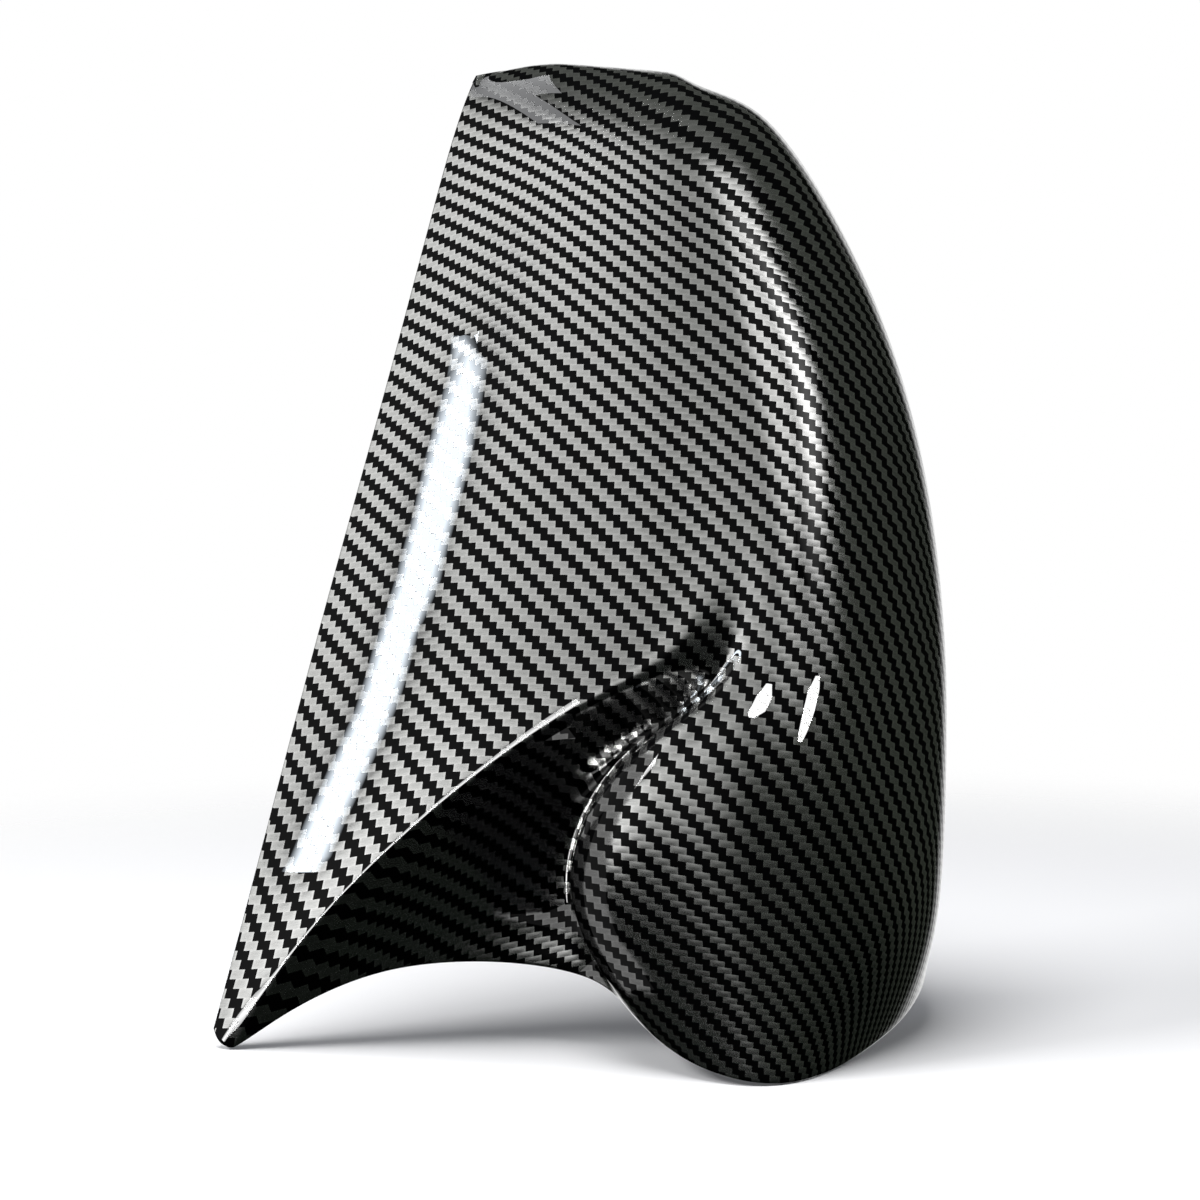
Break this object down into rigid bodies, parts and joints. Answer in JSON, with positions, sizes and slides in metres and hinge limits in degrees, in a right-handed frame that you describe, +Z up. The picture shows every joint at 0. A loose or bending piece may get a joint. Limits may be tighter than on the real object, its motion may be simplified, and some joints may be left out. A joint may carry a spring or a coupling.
{
  "type": "wing mirror cover",
  "caption": "Moulded gloss wing mirror cover with a rear horn, a scooped arch for the mirror arm and snap hooks inside its rim.",
  "frame": {"origin": "centre of the footprint at the floor, with the cover standing on its inboard end", "axes": "+Z up towards the outboard end, -Y out of the crowned panel, +Y towards the open side, +X to the far side away from the horn"},
  "size_m": [0.19, 0.0983, 0.2474],
  "materials": {
    "printed_shell": "silver and black twill print under clear gloss lacquer"
  },
  "bodies": {
    "root": {"cover_shell": "printed_shell"}
  },
  "joints": []
}
